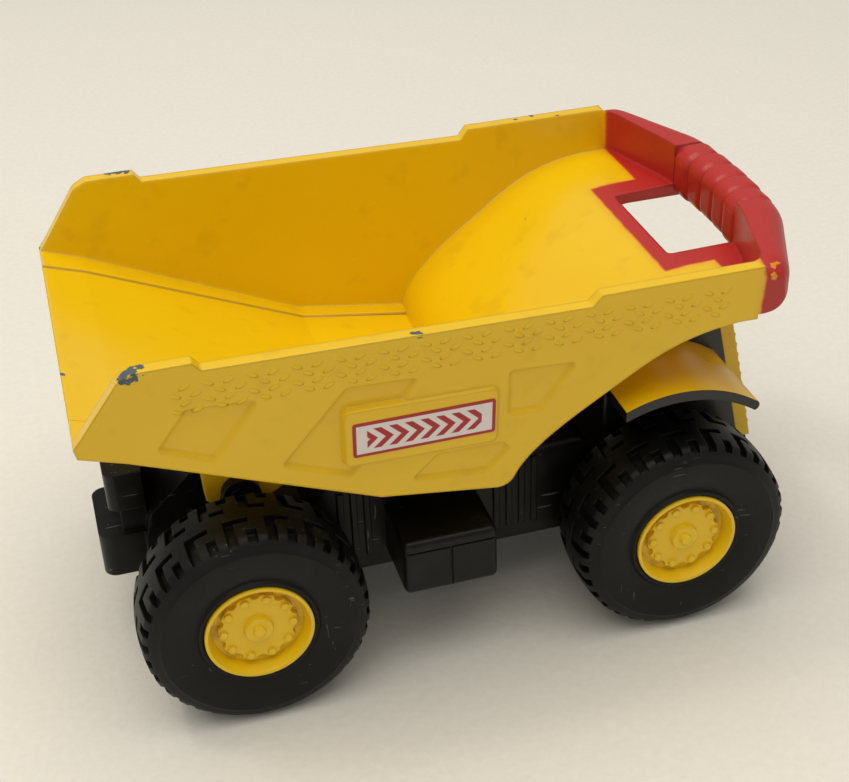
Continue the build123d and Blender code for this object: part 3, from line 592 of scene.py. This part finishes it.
def make_tyre(name, node_name, body):
    """A tyre about its axle, built where the CAD tyre is."""
    low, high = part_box(node_name)
    centre = (low + high) / 2
    tread_edge = TYRE_HALF_WIDTH - TREAD_INSET
    shape = bmesh.new()
    # one cross-section: sidewall, tread, sidewall, as a line of vertices
    section = tyre_profile(-1)
    for step in range(1, ACROSS_STEPS):
        share = -1 + 2 * step / ACROSS_STEPS
        section.append((TYRE_RADIUS - CROWN * share * share, share * tread_edge))
    section += list(reversed(tyre_profile(1)))
    line = [shape.verts.new((0, place, radius)) for radius, place in section]
    for first, second in zip(line, line[1:] + line[:1]):
        shape.edges.new((first, second))
    bmesh.ops.spin(shape, geom=shape.verts[:] + shape.edges[:], cent=(0, 0, 0), axis=(0, 1, 0),
                   angle=2 * math.pi, steps=TREAD_PITCHES * RINGS_PER_PITCH,
                   use_merge=True, use_duplicate=False)
    bmesh.ops.remove_doubles(shape, verts=shape.verts[:], dist=0.001 * MM)
    bmesh.ops.recalc_face_normals(shape, faces=shape.faces[:])
    # faces that lie in a groove go down together
    cut = []
    for face in shape.faces:
        middle = face.calc_center_median()
        radius = math.hypot(middle.x, middle.z)
        if radius < TYRE_RADIUS - 1.5 * MM:
            continue
        turn = (math.atan2(middle.x, middle.z) / (2 * math.pi)) % 1.0 * TREAD_PITCHES
        if in_groove(turn, middle.y / tread_edge):
            cut.append(face)
    walls = bmesh.ops.extrude_face_region(shape, geom=cut)
    floor_verts = [v for v in walls["geom"] if isinstance(v, bmesh.types.BMVert)]
    for vert in floor_verts:
        radius = math.hypot(vert.co.x, vert.co.z)
        deep = min(TREAD_DEPTH, max(0.35 * MM, radius - (TYRE_RADIUS - 2.6 * MM)))
        scale = (radius - deep) / radius
        vert.co.x *= scale
        vert.co.z *= scale
    bmesh.ops.delete(shape, geom=cut, context="FACES")
    bmesh.ops.recalc_face_normals(shape, faces=shape.faces[:])
    bmesh.ops.translate(shape, verts=shape.verts[:], vec=centre)
    tyre = object_from(shape, name, tyre_plastic)
    tyre.data.set_sharp_from_angle(angle=SHARP_ABOVE)
    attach(tyre, body)
    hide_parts(node_name)
    print(name, len(tyre.data.polygons), "faces")
    return tyre


for end in ("front", "rear"):
    for side in ("right", "left"):
        make_tyre(f"treaded_tyre_{end}_{side}", f"tyre_{end}_{side}", f"{end}_wheels")

# %% [markdown]
# ## Tread-plate marks
# Between the rim and the panels, both side walls carry four rows of small raised lozenges, cast with the bed
# so that they look like tread plate. They could be a bump in the enamel, but a raised mark throws its own
# highlight and shadow, so each is a low oval dome, pressed halfway into the wall.

# %% Tread-plate marks
WALL_DRAFT = math.radians(6.2)
RIM_HALF_WIDTH = 36.2
RIM_HEIGHT = 72.4
MARK_PITCH = 3.4
MARK_SIZE = (1.30 * MM, 0.55 * MM, 0.34 * MM)
MARK_TILT = math.radians(24)
MARKS_FROM_X = -47.5
MARKS_LENGTH = 92
MARK_ROWS = (66.5, 68.0, 69.5, 71.0)


def wall_point(x, height, side):
    """A point on the outside of a side wall, in metres, from millimetres along and up it."""
    half_width = RIM_HALF_WIDTH + (height - RIM_HEIGHT) * math.tan(WALL_DRAFT)
    return Vector((x, side * half_width, height)) * MM


def make_tread_plate(name, side):
    shape = bmesh.new()
    lean = Matrix.Rotation(side * (WALL_DRAFT - math.pi / 2), 3, "X")
    for row, height in enumerate(MARK_ROWS):
        for i in range(int(MARKS_LENGTH / MARK_PITCH)):
            x = MARKS_FROM_X + (i + 0.5 * (row % 2)) * MARK_PITCH
            tilt = Matrix.Rotation(MARK_TILT if (i + row) % 2 else -MARK_TILT, 3, "Z")
            made = bmesh.ops.create_cone(
                shape, cap_ends=True, segments=12, radius1=1.0, radius2=0.5, depth=1.0)
            verts = made["verts"]
            bmesh.ops.scale(shape, verts=verts, vec=MARK_SIZE)
            bmesh.ops.rotate(shape, verts=verts, matrix=tilt, cent=(0, 0, 0))
            bmesh.ops.rotate(shape, verts=verts, matrix=lean, cent=(0, 0, 0))
            bmesh.ops.translate(shape, verts=verts, vec=wall_point(x, height, side))
    bmesh.ops.recalc_face_normals(shape, faces=shape.faces[:])
    marks = object_from(shape, name, mark_enamel)
    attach(marks, "bed")
    print(name, len(marks.data.polygons), "faces")
    return marks


make_tread_plate("tread_plate_right", -1)
make_tread_plate("tread_plate_left", 1)

# %% [markdown]
# ## Floor and light
# The floor is a pale cloth-like sheet. A big soft light overhead and a small weaker one above the tail give
# the enamel broad highlights and the soft shadow that a room gives, and a dim sky fills the rest.

# %% Floor
FLOOR_SIZE = 6.0


def make_floor():
    material, tree, shader, place = new_material("pale_cotton_floor")
    weave = noise(tree, place, 1.6, 4.0)
    cotton = blend_colour(tree, weave, linear("#DFDBD0"), linear("#EAE7DD"))
    tree.links.new(cotton, shader.inputs["Base Color"])
    shader.inputs["Roughness"].default_value = 0.92
    tree.links.new(bump(tree, weave, 0.12), shader.inputs["Normal"])
    shape = bmesh.new()
    bmesh.ops.create_grid(shape, x_segments=1, y_segments=1, size=FLOOR_SIZE / 2)
    floor = object_from(shape, "floor", material, smooth=False)
    return floor


make_floor()


# %% Lights
def add_softbox(name, place_mm, aim_mm, size_mm, watts, colour):
    """A square area light that faces a point."""
    data = bpy.data.lights.new(name, "AREA")
    data.shape = "SQUARE"
    data.size = size_mm * MM
    data.energy = watts
    data.color = linear(colour)[:3]
    light = bpy.data.objects.new(name, data)
    bpy.context.scene.collection.objects.link(light)
    place = Vector(place_mm) * MM
    facing = (place - Vector(aim_mm) * MM).to_track_quat("Z", "Y").to_matrix().to_4x4()
    light.matrix_world = Matrix.Translation(place) @ facing
    return light


add_softbox("softbox_overhead", (-120, -40, 900), (0, 0, 30), 1100, 7.7, "#FFFAF2")
add_softbox("lamp_glint", (-260, 90, 620), (0, 0, 30), 70, 0.35, "#FFF6EC")
# a plain transfer curve shows paint at the colour its hex value says, where a film curve would fade the yellow
bpy.context.scene.view_settings.view_transform = "Standard"
world = bpy.data.worlds.new("soft_room")
world.use_nodes = True
world.node_tree.nodes["Background"].inputs["Color"].default_value = linear("#F0EEEA")
world.node_tree.nodes["Background"].inputs["Strength"].default_value = 0.47
bpy.context.scene.world = world
